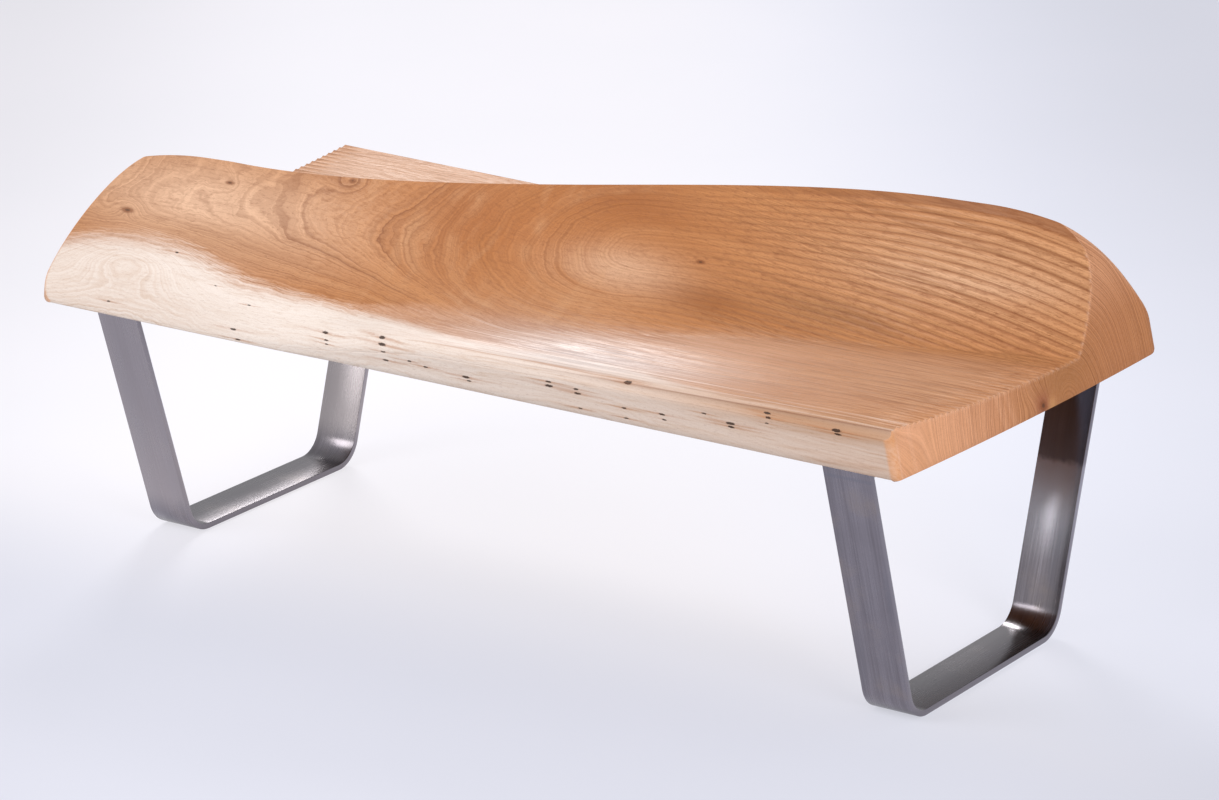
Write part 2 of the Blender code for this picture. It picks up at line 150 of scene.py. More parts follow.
def carvedSurface(x, column, lip):
    # hollow runs from 0 on a ripple's ridge to 1 along its bottom
    s = seatShape
    innerShare, endShare, hollow = column
    wayOut = min(max((x - s["evenFrom"]) / (plainEnd["reach"] - s["evenFrom"]), 0.0), 1.0)
    share = innerShare + wayOut * (endShare - innerShare)
    y, z = smoothSurface(x, share, lip)
    rippled = smoothstep((x - s["rippleGone"]) / (s["rippleFull"] - s["rippleGone"]))
    depth = s["rippleDepth"] * hollow * rippled
    if depth <= 0.0:
        return y, z
    step = 0.002
    before = smoothSurface(x, max(share - step, 0.0), lip)
    after = smoothSurface(x, min(share + step, 1.0), lip)
    run, rise = after[0] - before[0], after[1] - before[1]
    pitch = ripplePitch(run, rise)
    steep = (pitch - s["flatPitch"]) / (s["scoopPitch"] - s["flatPitch"])
    worn = smoothstep((x - s["flatRippleGone"]) / (s["flatRippleFull"] - s["flatRippleGone"]))
    depth *= (steep + (1.0 - steep) * worn) * (pitch / s["flatPitch"]) ** 2 / math.hypot(run, rise)
    return y + depth * rise, z - depth * run


def endX(y, z, end):
    s = seatShape
    share = min(max(z, 0.0) / (s["crestHeight"] + 0.001), 1.0)
    inset = end["lean"] * z + end["roundDepth"] * (1.0 - math.sqrt(1.0 - share ** end["roundPower"]))
    for radius, along in ((end["humpCorner"], y), (end["flatCorner"], -y)):
        past = min(max(along - (s["halfDepth"] - radius), 0.0), radius)
        inset += radius - math.sqrt(radius**2 - past**2)
    return end["reach"] - end["bow"] * (y - end["bowCentre"]) ** 2 - inset


def reachAt(right, y, z):
    if right:
        return endX(y, z, plainEnd)
    humped = smoothstep((-y - leftHumpEnd["from"]) / (leftHumpEnd["whole"] - leftHumpEnd["from"]))
    return humped * endX(-y, z, leftHumpEnd) + (1.0 - humped) * endX(-y, z, plainEnd)


def rippleCounts(x, samples):
    # how many ripples the section at x has room for, up to each share
    points = [Vector(smoothSurface(x, i / samples, seatShape["frontLip"])) for i in range(samples + 1)]
    counts = [0.0]
    for before, after in zip(points, points[1:]):
        way = after - before
        counts.append(counts[-1] + way.length / ripplePitch(way.x, way.y))
    return counts


def carvingColumns():
    # columns are evenly spaced along two sections, some to each ripple
    each = seatShape["columnsPerRipple"]
    samples = seatShape["columnSamples"]
    sections = [rippleCounts(x, samples) for x in (seatShape["evenFrom"], plainEnd["reach"])]
    count = round(sections[1][-1]) * each
    at = [0, 0]
    columns = []
    for k in range(count + 1):
        for i, counts in enumerate(sections):
            while at[i] < samples and counts[at[i]] < counts[-1] * k / count:
                at[i] += 1
        within = (k % each) / each
        hollow = 1.0 - (2.0 * within - 1.0) ** 2 if within and k <= count - each else 0.0
        columns.append((at[0] / samples, at[1] / samples, hollow))
    return columns


def topPoint(x, column, columns):
    # the columns run from the front edge over the crest, in their middle, to the back edge
    if column <= len(columns) // 2:
        return carvedSurface(x, columns[column], seatShape["frontLip"])
    y, z = carvedSurface(-x, columns[column], seatShape["backLip"])
    return -y, z


def arrisReach(right, column, columns):
    # how far out this column meets the end face, found by halving
    near, far = seatShape["crestTurn"], 1.1 * leftHumpEnd["reach"]
    for _ in range(24):
        middle = 0.5 * (near + far)
        if middle > reachAt(right, *topPoint(middle if right else -middle, column, columns)):
            far = middle
        else:
            near = middle
    return near


def buildSeat():
    s = seatShape
    half = carvingColumns()
    crest = len(half) - 1
    columns = half + half[-2::-1]
    last = len(columns) - 1
    stations = 2 * s["stationsEachSide"]
    deselectAll()
    bpy.ops.mesh.primitive_grid_add(x_subdivisions=stations, y_subdivisions=last, size=2.0)
    seat = bpy.context.object
    seat.name = "carvedSeat"
    sides = [(right, column) for right in (False, True) for column in range(last + 1)]
    reach = {(right, column): arrisReach(right, column, columns) for right, column in sides}
    bm = bmesh.new()
    bm.from_mesh(seat.data)
    ridgeLayer = bm.verts.layers.float.new("ridge")
    endLayer = bm.verts.layers.float.new("endGrain")
    rimLayer = bm.verts.layers.float.new("rim")
    place = {}

    def rimTipHighlight(fromMiddle, column):
        # the rim is palest on the tips of the ripples and less pale in their hollows: a painted highlight on
        # the tips, over the sanded rim's own pale tone
        rippled = (fromMiddle >= 0.0) == (column <= crest)
        return 1.0 - s["tipHighlightContrast"] * columns[column][2] if rippled else s["rimPlain"]

    def along(station):
        # which way the station lies from the middle, and its share of the way to the end face
        fromMiddle = station / s["stationsEachSide"] - 1.0
        return fromMiddle, 1.0 - (1.0 - abs(fromMiddle)) ** s["stationPower"]

    for vert in bm.verts:
        station = round((vert.co.x + 1.0) * 0.5 * stations)
        column = round((vert.co.y + 1.0) * 0.5 * last)
        fromMiddle, spread = along(station)
        x = math.copysign(spread * reach[fromMiddle >= 0.0, column], fromMiddle)
        y, z = topPoint(x, column, columns)
        vert.co = (x, y, z)
        place[vert] = (station, column)
        # the ridge attribute carries a painted shade along the ripples' ridges
        own = x if column <= crest else -x
        fade = smoothstep((own - s["rippleGone"]) / (s["rippleFull"] - s["rippleGone"]))
        halfBack = max(column - s["columnsPerRipple"] // 2, 0)
        slope = abs(z - topPoint(x, halfBack, columns)[1]) / s["ridgeSlope"]
        vert[ridgeLayer] = fade * (1.0 - columns[column][2]) ** 3 * min(slope, 1.0)
    # the rim goes down in rows: round over the arris, down the end face, then round under the foot
    faceRows, footRows = s["faceRows"], s["footRows"]
    arrisRows = len(s["arrisSteps"])
    face = [(k / faceRows) ** s["faceRowPower"] for k in range(1, faceRows)]
    rows = [0.0] * arrisRows + face + [1.0] * footRows
    rim = [edge for edge in bm.edges if edge.is_boundary]
    corners = {vert: vert.co.copy() for edge in rim for vert in edge.verts}
    topRim = set(corners)
    for row, way in enumerate(rows):
        uppers = {vert for edge in rim for vert in edge.verts}
        made = bmesh.ops.extrude_edge_only(bm, edges=rim)["geom"]
        rim = [item for item in made if isinstance(item, bmesh.types.BMEdge) and item.is_boundary]
        for vert in {vert for edge in rim for vert in edge.verts}:
            over = next(e.other_vert(vert) for e in vert.link_edges if e.other_vert(vert) in uppers)
            station, column = place[over]
            place[vert] = (station, column)
            corner = corners[over]
            corners[vert] = corner
            arris = min(s["rimRound"], s["roundShare"] * corner.z)
            foot = min(s["footRound"], s["roundShare"] * corner.z)
            inward = 0.0
            if row < arrisRows:
                down, inside = s["arrisSteps"][row]
                z = corner.z - arris * down
                inward = arris * inside
            elif row < len(rows) - footRows:
                z = corner.z - arris - (corner.z - arris - foot) * way
            else:
                turn = 0.5 * math.pi * (row - len(rows) + footRows) / (footRows - 1.0)
                z = foot * (1.0 - math.sin(turn))
                inward = foot * (1.0 - math.cos(turn))
            fromMiddle, spread = along(station)
            atEnd = station in (0, stations)
            y = corner.y
            if column in (0, last):
                y -= math.copysign(inward, y)
            furthest = reachAt(fromMiddle >= 0.0, corner.y, z) - (inward if atEnd else 0.0)
            vert.co = (math.copysign(spread * furthest, fromMiddle), y, z)
            vert[ridgeLayer] = 0.0
            vert[endLayer] = 1.0 if atEnd else 0.0
            vert[rimLayer] = rimTipHighlight(fromMiddle, column) if atEnd and row < arrisRows else 0.0
    bmesh.ops.contextual_create(bm, geom=rim)
    # the top's own last line draws back to make room for the round
    for vert, (station, column) in place.items():
        if vert in topRim and station in (0, stations):
            arris = min(s["rimRound"], s["roundShare"] * vert.co.z)
            vert.co.x -= math.copysign(arris, vert.co.x)
            vert[rimLayer] = rimTipHighlight(station - 0.5 * stations, column)
    bmesh.ops.recalc_face_normals(bm, faces=bm.faces)
    middle = 0.5 * (max(v.co.x for v in bm.verts) + min(v.co.x for v in bm.verts))
    cadLow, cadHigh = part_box("seat")
    shift = Vector((0.5 * (cadLow.x + cadHigh.x) - middle, 0.0, cadLow.z))
    bmesh.ops.translate(bm, vec=shift, verts=bm.verts)
    bm.to_mesh(seat.data)
    bm.free()
    settle(seat, s["smoothAngle"])
    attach(seat, "root")
    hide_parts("seat")
    print("seat carved:", len(seat.data.polygons), "faces")
    return seat


seat = buildSeat()


# Leg frames, each one length of flat bar bent twice

barSizes = {
    "width": 0.065, "thickness": 0.008, "topHalfSpan": 0.2783, "footHalfSpan": 0.1739,
    "bendRadius": 0.045, "bendSteps": 20, "edgeRound": 0.0008, "bevelAngle": 50, "smoothAngle": 35,
    # the gap under the slab, and how much longer than the height a leg is before it is cut level
    "gap": 0.0003, "overlong": 1.2,
}


def buildFrame(node):
    b = barSizes
    low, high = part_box(node)
    x, y = 0.5 * (low.x + high.x), 0.5 * (low.y + high.y)
    height = seatShape["undersideHeight"]
    lean = math.atan2(b["topHalfSpan"] - b["footHalfSpan"], height)
    straight = b["footHalfSpan"] - b["bendRadius"] * math.tan(0.5 * (0.5 * math.pi - lean))
    deselectAll()
    # the bar's section, pulled out along half the foot, round the bend and up the leg, then mirrored
    middle = (x, y, 0.5 * b["thickness"])
    bpy.ops.mesh.primitive_plane_add(size=1.0, location=middle, rotation=(0.5 * math.pi, 0.0, 0.0))
    bar = bpy.context.object
    bar.name = node.replace("leg_frame", "bentBar")
    bar.scale = (b["width"], b["thickness"], 1.0)
    bpy.ops.object.transform_apply(location=False, rotation=True, scale=True)
    bpy.ops.object.mode_set(mode="EDIT")
    bpy.ops.mesh.select_all(action="SELECT")
    bpy.ops.mesh.delete(type="ONLY_FACE")
    bpy.ops.mesh.select_all(action="SELECT")
    bpy.ops.mesh.extrude_edges_move(TRANSFORM_OT_translate={"value": (0.0, straight, 0.0)})
    centre = (x, y + straight, b["bendRadius"])
    bpy.ops.mesh.spin(steps=b["bendSteps"], angle=0.5 * math.pi - lean, center=centre, axis=(-1.0, 0.0, 0.0))
    long = b["overlong"] * height
    leg = (0.0, long * math.sin(lean), long * math.cos(lean))
    bpy.ops.mesh.extrude_edges_move(TRANSFORM_OT_translate={"value": leg})
    bpy.ops.mesh.select_all(action="SELECT")
    cut = (x, y, height - b["gap"])
    bpy.ops.mesh.bisect(plane_co=cut, plane_no=(0.0, 0.0, 1.0), use_fill=True, clear_outer=True)
    bpy.ops.object.mode_set(mode="OBJECT")
    applyModifier(bar, "MIRROR", use_axis=(False, True, False), merge_threshold=0.0001)
    bpy.ops.object.mode_set(mode="EDIT")
    bpy.ops.mesh.select_all(action="SELECT")
    bpy.ops.mesh.remove_doubles(threshold=0.00001)
    bpy.ops.mesh.normals_make_consistent(inside=False)
    bpy.ops.object.mode_set(mode="OBJECT")
    limit = math.radians(b["bevelAngle"])
    applyModifier(bar, "BEVEL", width=b["edgeRound"], segments=2, limit_method="ANGLE", angle_limit=limit)
    settle(bar, b["smoothAngle"])
    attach(bar, "root")
    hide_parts(node)
    print(bar.name, "bent:", len(bar.data.polygons), "faces")
    return bar


bars = [buildFrame(node) for node in ("leg_frame_left", "leg_frame_right")]


# Node helpers for materials

class Nodes:
    # a short hand for one node tree, called n below: each call adds nodes and gives back an output
    def __init__(self, tree):
        self.tree = tree

    def put(self, socket, value):
        if isinstance(value, bpy.types.NodeSocket):
            self.tree.links.new(value, socket)
        else:
            socket.default_value = value

    def new(self, kind, values=(), **settings):
        # values go into the first sockets, in their order
        node = self.tree.nodes.new("ShaderNode" + kind)
        for name, value in settings.items():
            setattr(node, name, value)
        for socket, value in zip(node.inputs, values):
            self.put(socket, value)
        return node

    def fill(self, node, **inputs):
        for name, value in inputs.items():
            self.put(node.inputs[name], value)
        return node.outputs[:]

    def math(self, operation, *values, clamp=False):
        return self.new("Math", values, operation=operation, use_clamp=clamp).outputs[0]

    def total(self, value, *others):
        for other in others:
            value = self.math("ADD", value, other)
        return value

    def product(self, value, *others):
        for other in others:
            value = self.math("MULTIPLY", value, other)
        return value

    def less(self, value, other):
        return self.math("SUBTRACT", value, other)

    def vector(self, operation, *values, output=0):
        return self.new("VectorMath", values, operation=operation).outputs[output]

    def scaled(self, vector, factor):
        return self.fill(self.new("VectorMath", [vector], operation="SCALE"), Scale=factor)[0]

    def split(self, vector):
        return self.new("SeparateXYZ", [vector]).outputs[:]

    def attribute(self, name):
        return self.new("Attribute", attribute_name=name).outputs[2]

    def mix(self, factor, first, second):
        node = self.new("Mix", [factor], data_type="RGBA")
        self.put(node.inputs[6], first)
        self.put(node.inputs[7], second)
        return node.outputs[2]

    def ramp(self, value, low, high, toLow=0.0, toHigh=1.0, kind="SMOOTHSTEP"):
        return self.new("MapRange", (value, low, high, toLow, toHigh), interpolation_type=kind).outputs[0]

    def noise(self, vector, scale, detail=2.0, rough=0.5, output=0):
        node = self.new("TexNoise")
        return self.fill(node, Vector=vector, Scale=scale, Detail=detail, Roughness=rough)[output]

    def noise1(self, value, scale, detail=1.0):
        node = self.new("TexNoise", noise_dimensions="1D")
        return self.fill(node, W=value, Scale=scale, Detail=detail)[0]

    def stretched(self, vector, stretch, detail=2.0, rough=0.5, output=0):
        return self.noise(self.vector("MULTIPLY", vector, stretch), 1.0, detail, rough, output)

    def centred(self, noise):
        # a noise in three directions, round zero
        return self.vector("SUBTRACT", noise, (0.5, 0.5, 0.5))

    def bump(self, **inputs):
        return self.fill(self.new("Bump"), **inputs)[0]

    def curve(self, value, line):
        # a line has its ends in place and in height, then its (place, height) points, all in metres
        (x0, x1), (y0, y1), points = line
        node = self.new("FloatCurve")
        curve = node.mapping.curves[0]
        while len(curve.points) < len(points):
            curve.points.new(0.5, 0.5)
        for point, (x, y) in zip(curve.points, points):
            point.location = ((x - x0) / (x1 - x0), (y - y0) / (y1 - y0))
            point.handle_type = "AUTO"
        node.mapping.update()
        self.put(node.inputs["Value"], self.ramp(value, x0, x1, kind="LINEAR"))
        return self.math("MULTIPLY_ADD", node.outputs[0], y1 - y0, y0)


def newMaterial(name):
    material = bpy.data.materials.new(name)
    material.use_nodes = True
    tree = material.node_tree
    tree.nodes.clear()
    shader = tree.nodes.new("ShaderNodeBsdfPrincipled")
    output = tree.nodes.new("ShaderNodeOutputMaterial")
    tree.links.new(shader.outputs[0], output.inputs["Surface"])
    return material, Nodes(tree), shader


def newGroup(name, inputs, outputs):
    group = bpy.data.node_groups.new(name, "ShaderNodeTree")
    for way, sockets in (("INPUT", inputs), ("OUTPUT", outputs)):
        for label, kind in sockets.items():
            group.interface.new_socket(label, in_out=way, socket_type="NodeSocket" + kind)
    entry = group.nodes.new("NodeGroupInput")
    leave = group.nodes.new("NodeGroupOutput")
    return group, Nodes(group), entry.outputs, leave.inputs


def useGroup(nodes, group, **inputs):
    return nodes.fill(nodes.new("Group", node_tree=group), **inputs)


# Oiled hardwood: growth rings round a bowed pith, sapwood along the front, knots and borer marks

woodLook = {
    "heartLight": (0.61, 0.272, 0.103, 1), "heartMiddle": (0.45, 0.168, 0.049, 1),
    "heartDark": (0.22, 0.068, 0.02, 1), "bandPale": (0.7, 0.375, 0.185, 1),
    "brownBand": (0.34, 0.145, 0.055, 1), "pinkish": (0.7, 0.435, 0.305, 1),
    "sapLight": (0.9, 0.795, 0.715, 1), "sapGrey": (0.72, 0.56, 0.465, 1), "sapDark": (0.64, 0.44, 0.31, 1),
    # the grey below, after the pale lines' colour, is the painted sheen of the polished hollow
    "lineLight": (0.88, 0.73, 0.64, 1), "worn": (0.44, 0.41, 0.42, 1), "mark": (0.035, 0.018, 0.012, 1),
    "endGrain": (0.58, 0.24, 0.1, 1), "endPale": (0.86, 0.44, 0.25, 1), "cutEdge": (0.72, 0.3, 0.1, 1),
    # how finely each noise varies along, across and up the seat, or along the rings
    "wanderScale": (1.8, 7.0, 7.0), "jitterScale": (14.0, 38.0, 38.0), "crinkleScale": (16.0, 16.0, 16.0),
    "cloudScale": (2.2, 7.0, 7.0), "streakScale": (13.0, 300.0, 300.0), "poreScale": (130.0, 1100.0, 1100.0),
    "figureScale": (62.0, 9.0, 9.0), "lineScale": (2.0, 150.0, 0.0), "fadeScale": 16.0, "speckScale": 900.0,
    "bandScale": 48.0, "narrowScale": 85.0, "uprightScale": 60.0, "raggedScale": 420.0,
    "unevenScale": 55.0, "fineScale": 480.0, "broadScale": 30.0,
    # how far the rings are bent, and how wide they are, in metres
    "wander": 0.024, "jitter": 0.004, "crinkle": 0.015, "unevenness": 0.018, "ringWidth": 0.0046,
    # how strongly each shows
    "bandShare": 0.5, "bandPaleShare": 0.32, "bandDarkShare": 0.45, "figureShare": 0.26, "narrowShare": 0.46,
    "lateShare": 0.36, "lateMore": 0.46, "lineShare": 0.55, "levelShare": 0.36, "sapInEnd": 0.35,
    "knotBrown": 0.7, "knotDark": 0.6, "markShare": 0.93, "speckShare": 0.12, "ridgePaintedShade": 0.6,
    "roughness": 0.33, "specular": 0.32, "coatRoughness": 0.33, "bump": 0.0006, "bumpStrength": 0.35,
    # the pith: it leaves the scoop's surface towards the left
    "pithY": ((-0.7, 0.7), (-0.4, 0.1), [
        (-0.7, -0.345), (-0.45, -0.33), (-0.26, -0.31), (-0.05, -0.155), (0.03, -0.085), (0.1, -0.03),
        (0.2, 0.012), (0.4, 0.038), (0.66, 0.055)]),
    "pithZ": ((-0.7, 0.7), (0.3, 0.8), [
        (-0.7, 0.745), (-0.45, 0.705), (-0.26, 0.635), (-0.05, 0.55), (0.03, 0.507), (0.1, 0.468),
        (0.2, 0.444), (0.4, 0.393), (0.66, 0.336)]),
    # where the paler wood begins: first the pinkish band, then the full sapwood
    "pinkFrom": ((-0.7, 0.7), (-0.3, 0.1), [
        (-0.7, -0.262), (-0.58, -0.256), (-0.45, -0.256), (-0.33, -0.268), (-0.19, -0.255),
        (-0.1, -0.22), (0.06, -0.163), (0.18, -0.109), (0.29, -0.05), (0.66, 0.05)]),
    "sapFrom": ((-0.7, 0.7), (-0.32, 0.0), [
        (-0.7, -0.275), (-0.58, -0.262), (-0.45, -0.26), (-0.33, -0.273), (-0.19, -0.264),
        (-0.1, -0.256), (0.01, -0.266), (0.22, -0.262), (0.36, -0.286), (0.66, -0.298)]),
    # near the front the rings run straight: their place there, and how far in that goes
    "outerRing": 0.27, "outward": (0.9, 0.5), "outerHeight": 0.42, "outerReach": 0.1,
    # whorls, where the rings crowd round: centre, radii, rise
    "whorls": [
        ((-0.49, -0.242, 0.46), (0.15, 0.05, 0.036), -0.018),
        ((-0.551, -0.238, 0.464), (0.022, 0.02, 0.012), 0.014),
        ((-0.52, -0.275, 0.415), (0.085, 0.05, 0.032), 0.052),
        ((-0.256, -0.148, 0.524), (0.02, 0.02, 0.016), 0.012),
        ((-0.419, -0.196, 0.51), (0.022, 0.02, 0.012), 0.01),
        ((0.656, 0.005, 0.346), (0.06, 0.045, 0.04), 0.04),
        ((0.169, 0.002, 0.452), (0.03, 0.012, 0.008), 0.006)],
    "knots": [
        ((-0.551, -0.238, 0.463), (0.01, 0.006, 0.003)),
        ((-0.256, -0.148, 0.526), (0.005, 0.0045, 0.003)),
        ((0.169, 0.002, 0.4516), (0.006, 0.004, 0.0022)), ((0.656, 0.004, 0.353), (0.02, 0.007, 0.006)),
        ((-0.415, -0.196, 0.51), (0.007, 0.004, 0.002)), ((0.56, 0.055, 0.4516), (0.006, 0.004, 0.002))],
    # patches of colour: centre, radii, colour, share
    "patches": [
        # the first patch, a pale band along the right of the scoop wall, is a painted sheen
        ((0.5, 0.114, 0.45), (0.17, 0.03, 0.012), (0.76, 0.48, 0.315, 1), 0.75),
        ((0.19, -0.035, 0.418), (0.09, 0.03, 0.02), (0.34, 0.115, 0.026, 1), 0.92),
        ((0.34, 0.02, 0.412), (0.17, 0.036, 0.017), (0.37, 0.16, 0.055, 1), 0.8),
        ((0.06, 0.01, 0.512), (0.17, 0.055, 0.03), (0.38, 0.13, 0.038, 1), 0.8),
        ((-0.106, -0.103, 0.495), (0.04, 0.04, 0.05), (0.44, 0.175, 0.062, 1), 0.55),
        ((-0.44, -0.215, 0.485), (0.22, 0.09, 0.06), (0.87, 0.56, 0.37, 1), 0.9),
        ((-0.435, -0.245, 0.452), (0.1, 0.03, 0.014), (0.58, 0.3, 0.15, 1), 0.45),
        ((-0.634, -0.296, 0.368), (0.01, 0.02, 0.018), (0.55, 0.19, 0.05, 1), 0.85),
        ((-0.5, 0.24, 0.41), (0.27, 0.13, 0.06), (0.8, 0.52, 0.36, 1), 0.78),
        ((0.48, 0.13, 0.46), (0.22, 0.12, 0.06), (0.74, 0.43, 0.24, 1), 0.72),
        ((-0.075, -0.095, 0.48), (0.17, 0.09, 0.06), (0.45, 0.155, 0.043, 1), 0.74),
        ((0.52, -0.1, 0.39), (0.17, 0.12, 0.03), (0.52, 0.24, 0.1, 1), 0.65),
        ((0.07, -0.15, 0.405), (0.12, 0.035, 0.012), (0.7, 0.36, 0.17, 1), 0.5),
        ((-0.34, -0.25, 0.443), (0.13, 0.03, 0.018), (0.46, 0.205, 0.085, 1), 0.32),
        ((0.085, -0.055, 0.442), (0.095, 0.05, 0.026), (0.77, 0.48, 0.31, 1), 0.75)],
    # the same on the front edge, which browns towards the right, and on the end face
    "browned": [((0.56, -0.305, 0.394), (0.26, 0.03, 0.012), (0.48, 0.26, 0.14, 1), 0.85)],
    "endPatches": [
        ((0.65, 0.055, 0.372), (0.07, 0.08, 0.045), (0.35, 0.145, 0.048, 1), 0.7),
        ((0.655, 0.021, 0.349), (0.03, 0.01, 0.009), (0.84, 0.46, 0.18, 1), 0.55),
        ((0.655, 0.004, 0.354), (0.03, 0.017, 0.015), (0.31, 0.095, 0.045, 1), 0.95)],
    # the hollow behind the front edge, polished by sitting, greyed by a painted sheen, and rolled forwards:
    # centre, radii, amount
    "polish": ((0.16, -0.235, 0.4), (0.16, 0.075, 0.05), 0.115),
    "rolled": ((0.09, 0.0, 0.0), (0.25, 9.0, 9.0), 0.021),
    # borer marks on the front, as (x, height, size)
    "markShape": (0.0042, 1.0, 0.00115), "stainShape": (0.11, 1.0, 0.8), "markRagged": (0.0034, 0.0, 0.0012),
    "marks": [
        (-0.532, 0.361, 0.8), (-0.45, 0.429, 0.7), (-0.374, 0.402, 0.5), (-0.315, 0.388, 0.6),
        (-0.328, 0.359, 1.1), (-0.318, 0.348, 1.0), (-0.187, 0.377, 1.2), (-0.181, 0.37, 0.8),
        (-0.179, 0.366, 0.7), (-0.099, 0.386, 1.2), (-0.094, 0.38, 1.5), (-0.09, 0.372, 0.8),
        (-0.086, 0.362, 1.1), (-0.05, 0.367, 0.9), (-0.026, 0.364, 0.9), (0.035, 0.362, 1.3),
        (0.04, 0.358, 0.8), (0.157, 0.378, 1.0), (0.158, 0.373, 1.5), (0.197, 0.376, 1.0),
        (0.199, 0.371, 1.2), (0.203, 0.353, 0.8), (0.268, 0.395, 1.4), (0.266, 0.365, 0.9),
        (0.269, 0.353, 0.8), (0.32, 0.367, 1.1), (0.323, 0.361, 0.8), (0.379, 0.379, 0.8),
        (0.416, 0.3735, 1.6), (0.417, 0.3695, 1.2), (0.464, 0.394, 1.2), (0.467, 0.39, 1.0),
        (0.466, 0.383, 0.7), (0.56, 0.3915, 1.6), (0.562, 0.3875, 1.2)],
}


def blobGroup():
    # a soft rise round a centre, for whorls, knots and patches
    sockets = {"Place": "Vector", "Centre": "Vector", "Radii": "Vector", "Height": "Float"}
    group, n, (place, centre, radii, height, *_), leave = newGroup("whorl", sockets, {"Rise": "Float"})
    away = n.vector("DIVIDE", n.vector("SUBTRACT", place, centre), radii)
    squared = n.vector("DOT_PRODUCT", away, away, output=1)
    n.put(leave[0], n.product(height, n.math("EXPONENT", n.product(squared, -1.0))))
    return group


def markGroup():
    # adds one dark borer mark and the long stain beside it to those so far
    so = {"Spot": "Float", "Stain": "Float"}
    sockets = {"Place": "Vector", "Centre": "Vector", "Size": "Float"} | so
    group, n, (place, centre, size, spot, stain, *_), leave = newGroup("borerMark", sockets, so)
    away = n.vector("DIVIDE", n.vector("SUBTRACT", place, centre), woodLook["markShape"])
    near = n.math("DIVIDE", n.vector("LENGTH", away, output=1), size)
    n.put(leave[0], n.math("MAXIMUM", spot, n.ramp(near, 1.15, 0.75)))
    wide = n.vector("MULTIPLY", away, woodLook["stainShape"])
    far = n.math("DIVIDE", n.vector("LENGTH", wide, output=1), size)
    n.put(leave[1], n.math("MAXIMUM", stain, n.ramp(far, 1.3, 0.2)))
    return group


def ringGroup():
    # growth rings from the distance to the pith: thin late wood, fine lines and broad bands
    w = woodLook
    outputs = {"Late": "Float", "Fine": "Float", "Band": "Float"}
    group, n, (distance, *_), leave = newGroup("growthRings", {"Distance": "Float"}, outputs)
    uneven = n.product(n.less(n.noise1(distance, w["unevenScale"], 2.0), 0.5), w["unevenness"])
    rings = n.math("DIVIDE", n.total(distance, uneven), w["ringWidth"])
    within = n.math("FRACT", rings)
    strength = n.fill(n.new("TexWhiteNoise", noise_dimensions="1D"), W=n.math("FLOOR", rings))[0]
    late = n.product(n.math("POWER", within, 2.4), n.ramp(within, 1.0, 0.86))
    late = n.product(late, n.ramp(distance, 0.01, 0.10, 0.15, 1.0))
    n.put(leave[0], n.product(late, n.ramp(strength, 0.1, 1.0, 0.25, 1.25)))
    n.put(leave[1], n.ramp(n.noise1(distance, w["fineScale"], 2.0), 0.35, 0.68))
    n.put(leave[2], n.ramp(n.noise1(distance, w["broadScale"], 2.0), 0.32, 0.66))
    return group


def blobAt(n, f, centre, radii, height):
    return useGroup(n, f.blob, Place=f.place, Centre=centre, Radii=radii, Height=height)[0]


def patched(n, f, colour, patches):
    for centre, radii, tone, amount in patches:
        colour = n.mix(blobAt(n, f, centre, radii, amount), colour, tone)
    return colour


def woodFields(n):
    # places, noises and growth rings that all parts of the wood share, called f below
    w = woodLook
    f = SimpleNamespace(place=n.new("TexCoord").outputs[3], blob=blobGroup())
    f.x, f.y, f.z = n.split(f.place)
    slow = n.centred(n.stretched(f.place, w["wanderScale"], 2.0, 0.45, 1))
    quick = n.centred(n.stretched(f.place, w["jitterScale"], 3.0, 0.55, 1))
    wavy = n.centred(n.stretched(f.place, w["crinkleScale"], 4.0, 0.6, 1))
    bend = n.vector("ADD", n.scaled(slow, w["wander"]), n.scaled(quick, w["jitter"]))
    crinkle = n.scaled(wavy, n.ramp(f.x, 0.15, -0.05, 0.002, w["crinkle"]))
    f.bent = n.vector("ADD", n.vector("ADD", f.place, bend), crinkle)
    f.cloud = n.stretched(f.place, w["cloudScale"], 3.0, 0.55)
    f.streak = n.stretched(f.bent, w["streakScale"], 3.0, 0.6)
    f.lines = n.stretched(f.place, w["lineScale"], 3.0, 0.66)
    # distance from the pith, which gives way to straight rings along the front
    _, bentY, bentZ = n.split(f.bent)
    away = n.less(bentY, n.curve(f.x, w["pithY"]))
    above = n.less(bentZ, n.curve(f.x, w["pithZ"]))
    inner = n.math("SQRT", n.total(n.product(away, away), n.product(above, above)))
    f.sapLine = n.curve(f.x, w["sapFrom"])
    beyond = n.less(f.sapLine, bentY)
    outer = n.math("MULTIPLY_ADD", beyond, w["outward"][0], w["outerRing"])
    outer = n.math("MULTIPLY_ADD", n.less(w["outerHeight"], bentZ), w["outward"][1], outer)
    share = n.ramp(beyond, -w["outerReach"], 0.02)
    f.distance = n.total(n.product(inner, n.less(1.0, share)), n.product(outer, share))
    for whorl in w["whorls"]:
        f.distance = n.total(f.distance, blobAt(n, f, *whorl))
    f.late, f.fine, f.band = useGroup(n, ringGroup(), Distance=f.distance)
    return f


